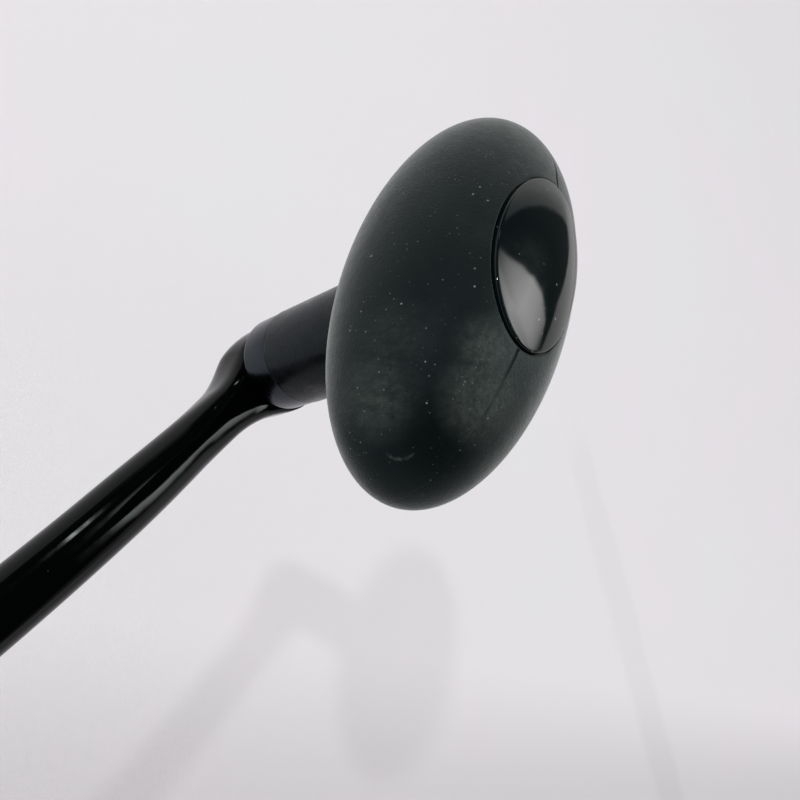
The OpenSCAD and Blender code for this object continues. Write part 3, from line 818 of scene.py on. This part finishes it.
def plug_plastic():
    m = Material("plug_plastic")
    mottle = m.noise(6, detail=3)
    m.set(
        Base_Color=m.mix(m.remap(mottle, 0.3, 0.7), (0.012, 0.012, 0.013), (0.02, 0.02, 0.021)),
        Roughness=m.remap(mottle, 0.3, 0.7, 0.4, 0.5),
    )
    m.bump((mottle, 0.008))
    return m.mat


mats = {
    "arm_paint": arm_paint(),
    "grip_rubber": grip_rubber(),
    "cap_plastic": cap_gloss(),
    "core_plastic": neck_black(),
    "collar_metal": collar_metal(),
    "steel": turned_metal("turned_steel", (0.58, 0.58, 0.6), 0.2, 0.32),
    "bearing_steel": turned_metal("ground_steel", (0.7, 0.71, 0.73), 0.08, 0.16),
    "spacer_metal": turned_metal("spacer_metal", (0.72, 0.73, 0.75), 0.3, 0.42),
    "cage_metal": turned_metal("cage_metal", (0.62, 0.48, 0.26), 0.25, 0.35),
    "shim_brass": turned_metal("shim_brass", (0.72, 0.58, 0.33), 0.22, 0.32),
    "plug_plastic": plug_plastic(),
}
for entry in frame["record"]["subparts"]:
    mat = mats[entry["material_slot"]]
    paint(nodes[entry["node"]], mat)
    if entry["node"] in pieces:
        paint(pieces[entry["node"]], mat)


# ---------------------------------------------------------------- floor and light
# The handle hangs from its drive shaft, clear of the cloth, as its shadow shows
FLOOR_Z, FLOOR_HALF = -62.0, 3000.0


def make_floor():
    h = FLOOR_HALF
    corners = [(x, y, FLOOR_Z) for x, y in ((-h, -h), (h, -h), (h, h), (-h, h))]
    floor = link_object("floor", new_mesh("floor", corners, [(0, 1, 2, 3)]))
    m = Material("cloth")
    x, y = m.split(m.place)[:2]
    soft = m.noise(0.012, detail=3)
    threads = m.most(m.wave("X", 1.3), m.wave("Y", 1.3))
    base = m.mix(m.remap(soft, 0.3, 0.7), (0.815, 0.79, 0.82), (0.80, 0.795, 0.81))
    # painted shade: the cloth is painted darker towards -y, and a painted shadow darkens a band beside a
    # fold that runs across it
    shade = m.plus(0.8, m.remap(m.plus(y, m.times(x, 1.27)), -25, 50, 0, 0.213))
    off = m.plus(m.times(m.plus(x, -210.2), 0.906), m.times(m.plus(y, 113.0), -0.424))
    bent = m.plus(off, m.times(m.noise(0.025), 8), -4)
    painted_fold_shadow = m.times(m.window(bent, 0, 17, 3), m.remap(y, -90, -125))
    # the painted shade and the fold's painted shadow scale the cloth's colour down
    base = m.mix(m.plus(1.0, m.times(m.plus(shade, m.times(painted_fold_shadow, -0.05)), -1)), base, (0, 0, 0))
    m.set(Base_Color=base, Roughness=0.95, Specular_IOR_Level=0.1)
    m.bump((m.remap(bent, 0, 4), 0.12), (m.noise(0.25, detail=4), 0.12), (threads, 0.03))
    # seen from below the floor is open
    back = m.tree.nodes.new("ShaderNodeNewGeometry").outputs["Backfacing"]
    open_side = m.tree.nodes.new("ShaderNodeBsdfTransparent")
    m.mix_shaders(back, m.bsdf.outputs[0], open_side.outputs[0], m.out.inputs["Surface"])
    paint(floor, m.mat)


def make_world():
    """Soft light from +y and above. Gloss sees a dark room with pale walls and one long bright strip.

    x, y and z are a ray's direction. The numbers are fitted to the reflections in the photograph.
    """
    world = bpy.data.worlds.new("world")
    world.use_nodes = True
    w = Web(world.node_tree, "Generated")
    x, y, z = w.split(w.coord)
    # the light that falls on everything
    lean = w.plus(w.times(x, 0.15), w.times(y, 0.8), w.times(z, 0.58))
    fill = w.tree.nodes.new("ShaderNodeBackground")
    fill.inputs["Color"].default_value = (1, 0.99, 1, 1)
    w.put(fill.inputs["Strength"], w.remap(lean, -1.0, 1.0, 0.18, 1.185))
    # the way round from straight up towards -y, in degrees
    roll = w.times(w.math("ARCTAN2", w.times(y, -1), z), math.degrees(1))
    # a pale wall below a dark ceiling
    top = w.least(w.plus(0.5, w.times(y, 1.44)), w.plus(0.74, w.times(y, -0.48)))
    depth = w.plus(top, w.times(z, -1))
    pale = w.plus(w.remap(x, 0.36, 0.48, 0.05, 0.5), w.remap(x, 0.5, 0.88, 0, 0.45))
    wall = w.times(pale, w.remap(depth, -0.02, 0.02), w.remap(depth, 0, 0.3, 0.5, 1.2))
    # a paler side towards -y, whose edge turns with x
    turn = w.most(w.plus(86.0, w.times(x, -55)), 51.0)
    turn = w.plus(turn, w.times(w.most(w.plus(x, -0.83), 0.0), 110))
    soft = w.remap(x, 0.5, 0.7, 7, 2)
    past = w.remap(roll, w.plus(turn, w.times(soft, -1)), w.plus(turn, soft))
    side = w.times(w.remap(x, 0.2, 0.6, 0.2, 0.92), past)
    # pale again low down all round, and higher up towards -x
    round_it = w.most(
        w.times(w.remap(z, 0.18, 0.13), 0.78),
        w.times(w.remap(x, 0.14, 0.0), w.remap(z, 0.45, 0.2), 0.45),
    )
    walls = w.most(w.least(wall, 0.9), side, round_it)
    # a long bright strip, bent a little, its edge leaning over on the +x side
    bend_in, bend_out = w.window(x, 0.42, 0.49, 0.02), w.window(x, 0.505, 0.56, 0.015)
    bent = w.plus(roll, w.times(bend_in, -10), w.times(bend_out, 5))
    rise = w.times(w.plus(bent, 9.5), 0.32)
    fall = w.plus(9.2, w.times(w.plus(bent, -18), -0.27))
    hill = w.most(w.least(rise, fall), 0.0)
    power = w.times(hill, w.remap(x, 0.6, 0.73, 1.07, 0.8), w.remap(bent, 52, 38))
    lean_in = w.times(w.most(w.plus(19.0, w.times(roll, -1)), 0.0), -0.0047)
    lean_out = w.times(w.most(w.plus(roll, -41.0), 0.0), -0.007)
    inside = w.remap(w.plus(x, w.times(w.plus(0.735, lean_in, lean_out), -1)), 0.012, -0.012)
    # its -x end is a patch that reaches over to the +y side
    patch = w.remap(w.plus(x, w.times(w.most(w.times(roll, -1), 0.0), -0.0011)), 0.427, 0.413)
    narrow = w.times(w.remap(x, 0.37, 0.405), w.most(w.remap(bent, 16, 21), patch))
    strip = w.times(inside, w.most(narrow, w.remap(x, 0.47, 0.505)), power)
    over = w.times(w.remap(x, 0.378, 0.398), patch, w.remap(roll, -27, -14), w.remap(roll, 14, 0), 3.4)
    glint = w.times(w.window(x, 0.353, 0.368, 0.005), w.window(roll, -53, -41, 3), 26.0)
    dim = w.remap(x, 0.42, 0.6, 0.02, 0.085)
    seen = w.tree.nodes.new("ShaderNodeBackground")
    seen.inputs["Color"].default_value = (1, 1, 0.98, 1)
    strip = w.plus(strip, over)
    w.put(seen.inputs["Strength"], w.plus(walls, strip, glint, dim))
    # camera, glossy and transmission rays see the room, and all others the soft light
    path = w.tree.nodes.new("ShaderNodeLightPath").outputs
    gloss = w.most(path["Is Camera Ray"], path["Is Glossy Ray"], path["Is Transmission Ray"])
    out = w.tree.nodes.new("ShaderNodeOutputWorld")
    w.mix_shaders(gloss, fill.outputs[0], seen.outputs[0], out.inputs["Surface"])
    scene.world = world


def make_lamp(name, way, distance, size, power, target):
    """A soft round lamp, from the direction way, aimed at the target."""
    data = bpy.data.lights.new(name, "AREA")
    data.shape = "DISK"
    data.size = size * MM
    data.energy = power
    lamp = link_object(name, data)
    way = Vector(way).normalized()
    lamp.location = (Vector(target) + way * distance) * MM
    lamp.rotation_mode = "QUATERNION"
    lamp.rotation_quaternion = way.to_track_quat("Z", "Y")


make_floor()
make_world()
make_lamp("key", (-0.243, 0.644, 0.725), distance=900, size=42, power=1.32, target=(60, 0, 20))
